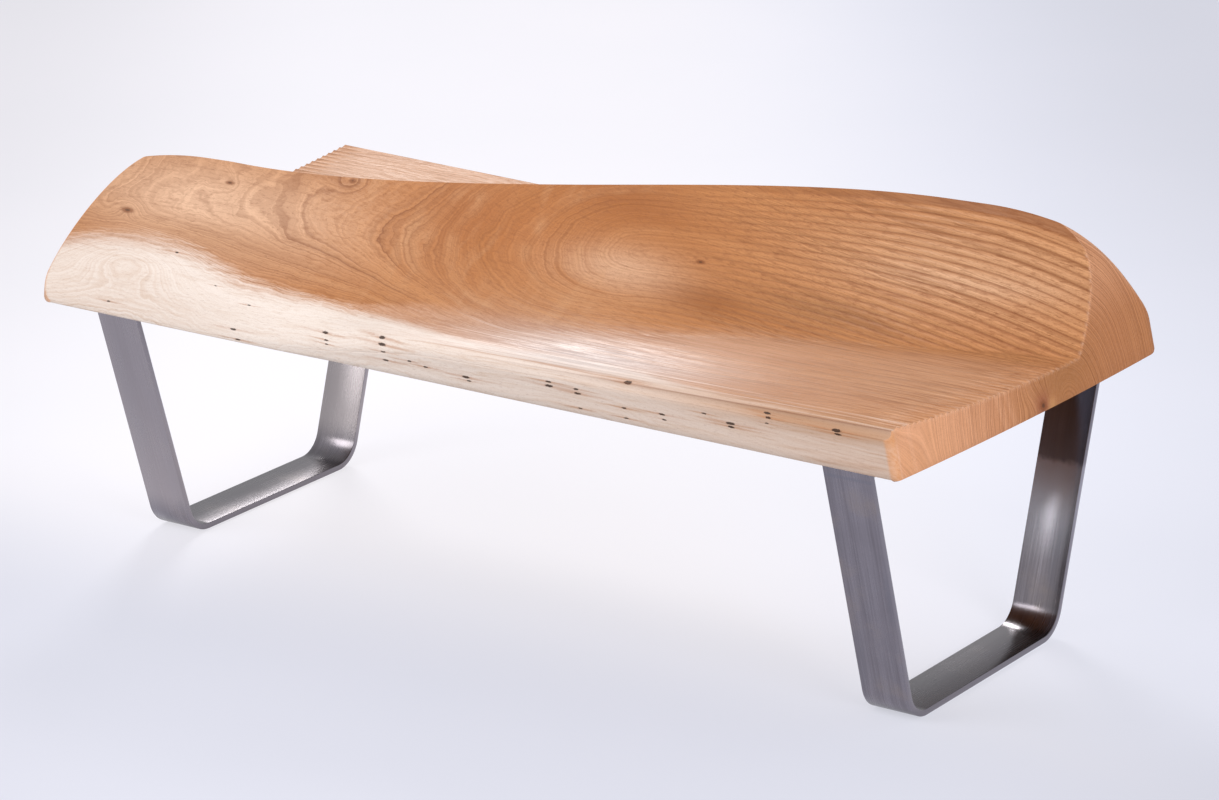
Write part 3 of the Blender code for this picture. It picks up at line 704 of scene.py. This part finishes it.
def heartColour(n, f):
    # heartwood: bands and patches, with the rings and streaks over them
    w = woodLook
    share = n.math("ADD", n.product(f.band, w["bandShare"]), n.ramp(f.cloud, 0.3, 0.7, 0.0, 0.30), clamp=True)
    heart = patched(n, f, n.mix(share, w["heartLight"], w["heartMiddle"]), w["patches"])
    # soft bands that follow the rings left of the middle, and a faint figure across the grain
    zone = n.product(n.ramp(f.x, -0.34, -0.22), n.ramp(f.x, 0.16, 0.04))
    zone = n.product(zone, n.ramp(n.noise(f.place, w["fadeScale"], 2.0), 0.40, 0.62, 0.15, 1.0))
    soft = n.noise1(f.distance, w["bandScale"], 1.0)
    heart = n.mix(n.product(zone, n.ramp(soft, 0.50, 0.66, 0.0, w["bandPaleShare"])), heart, w["bandPale"])
    heart = n.mix(n.product(zone, n.ramp(soft, 0.48, 0.32, 0.0, w["bandDarkShare"])), heart, w["heartMiddle"])
    figure = n.ramp(n.stretched(f.bent, w["figureScale"]), 0.48, 0.66, 0.0, w["figureShare"])
    heart = n.mix(n.product(zone, figure), heart, w["bandPale"])
    # towards the right the bands are narrower and browner
    narrow = n.noise1(n.total(f.distance, n.product(f.streak, 0.010)), w["narrowScale"], 2.0)
    narrow = n.ramp(narrow, 0.50, 0.66, 0.0, w["narrowShare"])
    heart = n.mix(n.product(narrow, n.ramp(f.x, 0.08, 0.28)), heart, w["brownBand"])
    heart = n.mix(n.product(f.fine, n.ramp(f.x, -0.1, -0.4, 0.21, 0.28)), heart, w["heartDark"])
    # the rings are strongest between the hump and the scoop
    strong = n.product(n.ramp(f.x, -0.36, -0.28), n.ramp(f.x, -0.08, -0.16))
    contrast = n.math("MULTIPLY_ADD", strong, w["lateMore"], w["lateShare"])
    heart = n.mix(n.product(f.late, contrast), heart, w["heartDark"])
    return n.mix(n.ramp(f.streak, 0.46, 0.72, 0.0, n.ramp(f.x, 0.0, 0.4, 0.26, 0.48)), heart, w["heartDark"])


def sapColour(n, f):
    w = woodLook
    sap = n.mix(n.ramp(f.x, -0.3, 0.6, 0.0, 0.8), w["sapLight"], w["sapGrey"])
    sap = n.mix(n.ramp(f.cloud, 0.35, 0.8, 0.0, 0.25), sap, w["sapDark"])
    ringed = n.total(f.late, n.product(f.fine, 0.5))
    sap = n.mix(n.product(ringed, n.ramp(f.x, -0.35, -0.50, 0.24, 0.44)), sap, w["sapDark"])
    return n.mix(n.ramp(f.streak, 0.46, 0.74, 0.0, n.ramp(f.x, -0.3, 0.2, 0.26, 0.50)), sap, w["sapDark"])


def boardColour(n, f):
    # heartwood, then the pinkish band and the pale sapwood along the front, with wavy borders
    w = woodLook
    wave = n.total(n.product(n.less(f.cloud, 0.5), 0.02), n.product(n.less(f.streak, 0.5), 0.012))
    wavyY = n.total(f.y, n.total(wave, n.product(f.fine, 0.003)))
    pinkEdge = n.less(wavyY, n.curve(f.x, w["pinkFrom"]))
    sapEdge = n.less(wavyY, f.sapLine)
    pink = n.ramp(n.math("DIVIDE", pinkEdge, n.ramp(f.x, -0.2, 0.1, 0.010, 0.045)), 0.5, -0.5)
    f.pale = n.ramp(n.math("DIVIDE", sapEdge, n.ramp(f.x, -0.2, 0.0, 0.020, 0.024)), 0.5, -0.5)
    fading = n.product(pink, n.ramp(f.streak, 0.30, 0.62, 0.9, 0.45), n.ramp(f.x, 0.20, 0.48, 0.75, 0.15))
    band = n.mix(n.product(f.late, 0.6), w["pinkish"], w["heartMiddle"])
    return n.mix(f.pale, n.mix(fading, heartColour(n, f), band), sapColour(n, f))


def frontColour(n, f, colour):
    # long straight lines, pale and brown, behind the front edge
    w = woodLook
    zone = n.ramp(n.less(f.y, n.ramp(f.x, 0.0, 0.5, -0.170, -0.245)), 0.0, -0.045)
    zone = n.product(zone, n.ramp(f.y, -0.307, -0.298), n.ramp(f.x, -0.10, 0.06))
    pale = n.product(zone, n.ramp(f.lines, 0.52, 0.60, 0.0, w["lineShare"]))
    brown = n.product(zone, n.ramp(f.lines, 0.46, 0.38, 0.0, w["lineShare"]))
    colour = n.mix(pale, colour, w["lineLight"])
    colour = n.mix(brown, colour, w["heartMiddle"])
    # longer and browner ones over the level part of the seat
    behind = n.ramp(f.y, -0.304, -0.290)
    level = n.product(n.ramp(f.x, 0.08, 0.30), n.ramp(f.z, 0.416, 0.400), behind)
    level = n.product(level, n.ramp(f.lines, 0.48, 0.36, 0.0, w["levelShare"]))
    colour = n.mix(level, colour, w["brownBand"])
    # a grey painted sheen over the polished hollow, which whitens its highlight
    f.polished = blobAt(n, f, *w["polish"])
    tone = n.product(f.polished, n.ramp(f.lines, 0.62, 0.44, 3.4, 6.0), behind)
    return patched(n, f, n.mix(tone, colour, w["worn"]), w["browned"])


def endColour(n, f, colour):
    # the end faces, and the rim along their top
    w = woodLook
    face = n.mix(n.ramp(f.y, 0.10, -0.30), w["endGrain"], w["endPale"])
    face = n.mix(n.ramp(f.cloud, 0.35, 0.75, 0.0, 0.4), face, w["heartLight"])
    # paler up the nose: a painted highlight on its rounded top
    face = n.mix(n.ramp(f.z, 0.40, 0.49, 0.0, 0.62), face, w["endPale"])
    upright = n.noise1(n.total(f.y, n.product(f.z, 0.25)), w["uprightScale"], 2.0)
    upright = n.product(n.ramp(f.y, 0.05, -0.10), n.ramp(upright, 0.45, 0.65, 0.0, 0.50))
    face = n.mix(upright, face, w["endPale"])
    lined = n.product(n.total(f.late, f.fine), n.ramp(f.y, -0.10, -0.25, 0.48, 0.20))
    face = patched(n, f, n.mix(lined, face, w["heartDark"]), w["endPatches"])
    face = n.mix(n.ramp(f.y, -0.296, -0.303, 0.0, 0.8), face, w["cutEdge"])
    f.endGrain = n.attribute("endGrain")
    colour = n.mix(n.product(f.endGrain, n.less(0.9, n.product(f.pale, w["sapInEnd"]))), colour, face)
    # the sanded rim's pale tone, strongest on the ripples' tips as a painted highlight
    rimTone = n.mix(n.ramp(f.x, -0.4, -0.55), w["pinkish"], w["cutEdge"])
    return n.mix(n.product(n.attribute("rim"), n.ramp(f.streak, 0.3, 0.7, 0.6, 0.1)), colour, rimTone)


def markedColour(n, f, colour):
    # knots, with a dark heart and a brown ring
    w = woodLook
    knot = 0.0
    for centre, radii in w["knots"]:
        knot = n.math("MAXIMUM", knot, blobAt(n, f, centre, radii, 1.0))
    colour = n.mix(n.ramp(knot, 0.03, 0.6, 0.0, w["knotBrown"]), colour, w["heartDark"])
    colour = n.mix(n.ramp(knot, 0.70, 0.95, 0.0, w["knotDark"]), colour, w["mark"])
    # borer marks with ragged edges and their stains, on the front alone
    mark = markGroup()
    ragged = n.vector("MULTIPLY", n.centred(n.noise(f.place, w["raggedScale"], 1.0, 0.5, 1)), w["markRagged"])
    flat = n.vector("MULTIPLY", n.vector("ADD", f.place, ragged), (1.0, 0.0, 1.0))
    spot, stain = 0.0, 0.0
    for across, up, size in w["marks"]:
        at = (across, 0.0, up)
        spot, stain = useGroup(n, mark, Place=flat, Centre=at, Size=size, Spot=spot, Stain=stain)
    front = n.ramp(n.total(f.y, n.ramp(f.x, -0.2, 0.1, 0.0, 0.035)), -0.245, -0.260)
    stain = n.product(stain, front, n.ramp(f.streak, 0.25, 0.6, 0.10, 0.50))
    colour = n.mix(stain, colour, w["heartMiddle"])
    return n.mix(n.product(spot, front, w["markShare"]), colour, w["mark"])


def woodMaterial():
    w = woodLook
    material, n, shader = newMaterial("oiledHardwood")
    f = woodFields(n)
    colour = frontColour(n, f, boardColour(n, f))
    colour = markedColour(n, f, endColour(n, f, colour))
    # dark pores and specks, and a thin painted shade along the ripples' ridges
    pore = n.ramp(n.stretched(f.place, w["poreScale"]), 0.58, 0.72, 0.0, n.ramp(f.pale, 0.0, 1.0, 0.42, 0.20))
    colour = n.mix(pore, colour, w["heartDark"])
    speck = n.ramp(n.noise(f.place, w["speckScale"], 2.0, 0.6), 0.45, 0.75, 0.0, w["speckShare"])
    colour = n.mix(speck, colour, w["heartDark"])
    colour = n.mix(n.product(n.attribute("ridge"), w["ridgePaintedShade"]), colour, w["heartDark"])
    n.put(shader.inputs["Base Color"], colour)
    # duller on the front face, the end faces, the right end and the far side's low seat
    rough = n.ramp(f.streak, 0.3, 0.7, w["roughness"] - 0.05, w["roughness"] + 0.06)
    farSide = n.product(n.ramp(f.y, 0.10, 0.22), n.ramp(f.x, 0.0, -0.3, 0.0, 0.15))
    rough = n.total(
        rough, n.product(f.endGrain, 0.10), n.ramp(f.y, -0.280, -0.300, 0.0, 0.30), farSide,
        n.ramp(f.streak, 0.40, 0.60, 0.0, 0.10), n.ramp(f.x, 0.44, 0.57, 0.0, 0.20),
        n.product(f.polished, 0.5),
    )
    n.put(shader.inputs["Roughness"], rough)
    shader.inputs["Specular IOR Level"].default_value = w["specular"]
    n.put(shader.inputs["Coat Weight"], n.product(f.polished, n.ramp(f.lines, 0.40, 0.58, 0.45, 1.0)))
    shader.inputs["Coat Roughness"].default_value = w["coatRoughness"]
    rolled = n.product(n.ramp(f.y, -0.30, -0.13), blobAt(n, f, *w["rolled"]))
    height = n.total(n.product(f.streak, 0.5), n.product(f.fine, 0.18), n.product(f.late, 0.25))
    height = n.less(height, n.product(pore, 0.5))
    broad = n.bump(Strength=1.0, Distance=1.0, Height=rolled)
    bump = n.bump(Strength=w["bumpStrength"], Distance=w["bump"], Height=height, Normal=broad)
    n.put(shader.inputs["Normal"], bump)
    n.put(shader.inputs["Coat Normal"], bump)
    return material


# Bare steel with lengthwise brushing, mill marks and heat tint, painted light, shade and reflection on the
# bars, and plain zinc and brass

steelLook = {
    "steelDark": (0.198, 0.180, 0.200, 1), "steelLight": (0.285, 0.263, 0.292, 1),
    "warm": (0.29, 0.245, 0.228, 1), "blue": (0.195, 0.195, 0.230, 1),
    # the next two lines hold painted light for the left frame, a dark for the feet's painted shade and the
    # right frame's painted reflection, and the light of that reflection
    "leftFrameLit": (0.48, 0.435, 0.44, 1), "foot": (0.13, 0.122, 0.128, 1),
    "paintedReflection": (0.54, 0.53, 0.58, 1), "zincDark": (0.40, 0.41, 0.44, 1), "zincLight": (0.62, 0.63, 0.66, 1),
    "brassDark": (0.42, 0.27, 0.09, 1), "brassLight": (0.72, 0.52, 0.22, 1),
    "tintHeight": 0.330, "reflectionEdge": 0.206, "ragged": 0.012, "raggedScale": 130.0,
    "cloudScale": 14.0, "patchScale": (20.0, 4.0, 4.0), "bump": 0.0003, "bumpStrength": 0.12,
    # how each metal is brushed, and its roughness
    "barBrushing": (620.0, 9.0, 9.0), "barRough": 0.26,
    "zincBrushing": (160.0, 160.0, 160.0), "zincRough": 0.30,
    "brassBrushing": (40.0, 40.0, 900.0), "brassRough": 0.28,
}


def brushedGroup():
    group, n, entry, leave = newGroup(
        "brushedMetal",
        {"Place": "Vector", "Stretch": "Vector", "Dark": "Color", "Light": "Color", "Rough": "Float"},
        {"Color": "Color", "Roughness": "Float", "Height": "Float", "Cloud": "Float"},
    )
    place, stretch, dark, light, rough = entry[:5]
    fine = n.stretched(place, stretch, 4.0, 0.65)
    broad = n.stretched(place, n.scaled(stretch, 0.17), 3.0, 0.5)
    cloud = n.noise(n.vector("ADD", place, (3.1, 1.7, 0.4)), steelLook["cloudScale"], 4.0, 0.6)
    share = n.ramp(n.total(n.product(fine, 0.65), n.product(broad, 0.35)), 0.28, 0.72)
    share = n.math("ADD", share, n.product(n.less(cloud, 0.5), 0.9), clamp=True)
    uneven = n.total(n.product(n.less(fine, 0.5), 0.14), n.product(n.less(cloud, 0.5), 0.12))
    n.put(leave[0], n.mix(share, dark, light))
    n.put(leave[1], n.total(rough, uneven))
    n.put(leave[2], fine)
    n.put(leave[3], cloud)
    return group


brushedMetal = brushedGroup()


def millTintAndPaintedLight(n, place, cloud, colour, roughness, light):
    # warm and bluish patches of mill heat
    s = steelLook
    x, y, z = n.split(place)
    colour = n.mix(n.ramp(cloud, 0.52, 0.75, 0.0, 0.55), colour, s["warm"])
    colour = n.mix(n.ramp(n.stretched(place, s["patchScale"]), 0.52, 0.72, 0.0, 0.50), colour, s["blue"])
    # the left frame's bar is painted paler: painted light from the lamps on the left
    paler = n.product(n.ramp(x, 0.3, -0.4), n.ramp(z, 0.015, 0.06), n.ramp(y, -0.15, 0.15, 0.55, 0.95))
    colour = n.mix(paler, colour, s["leftFrameLit"])
    # the back leg of the right frame is painted lighter up to a ragged line and darker above it, in the
    # feet's dark: a painted reflection of the bright floor below and of the slab's dark underside above
    ragged = n.less(z, n.product(n.noise(place, s["raggedScale"], 4.0, 0.6), s["ragged"]))
    above = n.ramp(ragged, s["reflectionEdge"] - 0.010, s["reflectionEdge"])
    paintedReflection = n.product(n.ramp(y, 0.12, 0.20), n.ramp(x, 0.3, 0.4, 0.0, 0.85))
    roughness = n.math("MULTIPLY_ADD", paintedReflection, -0.06, roughness)
    colour = n.mix(n.product(paintedReflection, above, 0.20), colour, s["foot"])
    colour = n.mix(n.product(paintedReflection, n.less(1.0, above), n.ramp(z, 0.06, 0.18)), colour, s["paintedReflection"])
    # the feet are darker, a painted shade where they catch no lamp, and a thin bluish band runs round the
    # legs a little below the top
    colour = n.mix(n.ramp(z, 0.020, 0.009, 0.0, 0.70), colour, s["foot"])
    band = n.math("ABSOLUTE", n.less(z, s["tintHeight"]))
    colour = n.mix(n.ramp(band, 0.0035, 0.0008, 0.0, 0.45), colour, s["blue"])
    # the bar's narrow sides are cut, so they are lighter
    facing = n.split(n.new("NewGeometry").outputs[1])[0]
    cut = n.ramp(n.math("ABSOLUTE", facing), 0.35, 0.9)
    return n.mix(n.product(cut, 0.55), colour, light), roughness


def metalMaterial(name, metal, stretch, rough, tinted=False):
    s = steelLook
    dark, light = s[metal + "Dark"], s[metal + "Light"]
    material, n, shader = newMaterial(name)
    place = n.new("TexCoord").outputs[3]
    colour, roughness, height, cloud = useGroup(
        n, brushedMetal, Place=place, Stretch=stretch, Dark=dark, Light=light, Rough=rough,
    )
    if tinted:
        colour, roughness = millTintAndPaintedLight(n, place, cloud, colour, roughness, light)
    n.put(shader.inputs["Base Color"], colour)
    n.put(shader.inputs["Roughness"], roughness)
    shader.inputs["Metallic"].default_value = 1.0
    bump = n.bump(Strength=s["bumpStrength"], Distance=s["bump"], Height=height)
    n.put(shader.inputs["Normal"], bump)
    return material


def dress(piece, material):
    piece.data.materials.clear()
    piece.data.materials.append(material)


def dressAll():
    s = steelLook
    barSteel = metalMaterial("barSteel", "steel", s["barBrushing"], s["barRough"], tinted=True)
    zinc = metalMaterial("zincPlate", "zinc", s["zincBrushing"], s["zincRough"])
    brass = metalMaterial("turnedBrass", "brass", s["brassBrushing"], s["brassRough"])
    dress(seat, woodMaterial())
    for bar in bars:
        dress(bar, barSteel)
    metals = {"top_bar": barSteel, "screw": zinc, "washer": zinc, "insert": brass}
    for name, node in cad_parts.items():
        for start, metal in metals.items():
            if name.startswith(start):
                dress(node, metal)


dressAll()
print("materials done")


# Floor, light and camera

studio = {
    "floorSize": 30.0, "floorColour": (0.23, 0.227, 0.255, 1), "floorFar": (0.20, 0.207, 0.235, 1),
    "floorGrain": 2.2, "floorRough": 0.75, "floorLift": 0.74,
    "liftColour": (0.985, 0.965, 1.0, 1), "liftCool": (0.87, 0.89, 1.0, 1),
    # how the floor's light fades away from a strip under the bench: direction, start, end, amount
    "fades": [((-0.159, 1.107, 0.0), 0.225, -0.475, 0.22), ((0.822, 0.570, 0.0), 0.25, 1.15, 0.23),
              ((0.822, 0.570, 0.0), -0.45, -1.15, 0.16), ((-0.570, 0.822, 0.0), 0.5, 2.4, 0.14)],
    # and where it turns cooler: direction, start, end
    "cooler": [((-0.159, 1.107, 0.0), 0.1, -0.5), ((0.822, 0.570, 0.0), 0.0, 0.8)],
    "skyColour": (0.96, 0.965, 1.0, 1), "skyStrength": 0.60,
    # place, aim, width, height, watts, colour
    "lamps": [
        ((-2.3, 2.8, 2.95), (0.0, 0.0, 0.4), 1.2, 0.9, 62.0, (1.0, 0.985, 0.97)),
        ((-2.4, -3.5, 2.6), (0.0, 0.0, 0.4), 2.4, 2.0, 58.0, (1.0, 0.985, 0.98)),
        ((4.0, -1.8, 1.5), (0.3, 0.0, 0.4), 1.8, 1.8, 100.0, (0.98, 0.985, 1.0)),
        ((-0.6, -2.2, 3.3), (0.1, 0.0, 0.4), 1.4, 1.2, 26.0, (1.0, 1.0, 1.0)),
    ],
    # the camera's place, its turn, tilt and roll in radians, and its lens and sensor in millimetres
    "cameraAt": (3.20011, -4.57214, 2.08102), "turn": 0.605957, "tilt": 0.318380, "roll": -0.0066072,
    "lens": 136.667, "sensor": 36.0, "sightEnd": 60.0,
}


def floorMaterial():
    t = studio
    material, n, shader = newMaterial("paperFloor")
    place = n.new("TexCoord").outputs[3]
    grain = n.ramp(n.noise(place, t["floorGrain"]), 0.3, 0.7, 0.0, 0.3)
    n.put(shader.inputs["Base Color"], n.mix(grain, t["floorColour"], t["floorFar"]))
    shader.inputs["Roughness"].default_value = t["floorRough"]
    # the camera sees the floor lifted by a light of its own, directly and in reflections
    rays = n.new("LightPath").outputs
    seen = n.math("MAXIMUM", rays["Is Glossy Ray"], rays["Is Transmission Ray"])
    seen = n.math("MAXIMUM", rays["Is Camera Ray"], seen)
    left = 1.0
    for direction, start, end, amount in t["fades"]:
        way = n.vector("DOT_PRODUCT", place, direction, output=1)
        left = n.less(left, n.ramp(way, start, end, 0.0, amount))
    cool = 0.0
    for direction, start, end in t["cooler"]:
        way = n.vector("DOT_PRODUCT", place, direction, output=1)
        cool = n.math("MAXIMUM", cool, n.ramp(way, start, end))
    n.put(shader.inputs["Emission Color"], n.mix(cool, t["liftColour"], t["liftCool"]))
    n.put(shader.inputs["Emission Strength"], n.product(seen, t["floorLift"], left))
    return material


def buildStudio():
    t = studio
    deselectAll()
    bpy.ops.mesh.primitive_plane_add(size=t["floorSize"], location=(0.0, 0.0, 0.0))
    floor = bpy.context.object
    floor.name = "studioFloor"
    dress(floor, floorMaterial())
    world = bpy.data.worlds.new("studioLight")
    bpy.context.scene.world = world
    world.use_nodes = True
    sky = world.node_tree.nodes["Background"]
    sky.inputs[0].default_value = t["skyColour"]
    sky.inputs[1].default_value = t["skyStrength"]
    for number, (at, aim, width, height, watts, colour) in enumerate(t["lamps"], 1):
        bpy.ops.object.light_add(type="AREA", location=at)
        lamp = bpy.context.object
        lamp.name = f"softbox{number}"
        lamp.rotation_euler = (Vector(aim) - Vector(at)).to_track_quat("-Z", "Y").to_euler()
        lamp.data.shape = "RECTANGLE"
        lamp.data.size = width
        lamp.data.size_y = height
        lamp.data.energy = watts
        lamp.data.color = colour
    bpy.context.scene.view_settings.view_transform = "Standard"


def placeCamera():
    t = studio
    side = Vector((math.cos(t["turn"]), math.sin(t["turn"]), 0.0))
    level = Vector((-math.sin(t["turn"]), math.cos(t["turn"]), 0.0))
    ahead = math.cos(t["tilt"]) * level - Vector((0.0, 0.0, math.sin(t["tilt"])))
    up = side.cross(ahead)
    across = math.cos(t["roll"]) * side + math.sin(t["roll"]) * up
    upright = -math.sin(t["roll"]) * side + math.cos(t["roll"]) * up
    turned = Matrix((across, upright, -ahead)).transposed().to_4x4()
    bpy.ops.object.camera_add(location=t["cameraAt"])
    camera = bpy.context.object
    camera.matrix_world = Matrix.Translation(t["cameraAt"]) @ turned
    camera.data.sensor_width = t["sensor"]
    camera.data.lens = t["lens"]
    camera.data.clip_end = t["sightEnd"]
    bpy.context.scene.camera = camera


buildStudio()
placeCamera()
print("studio done")
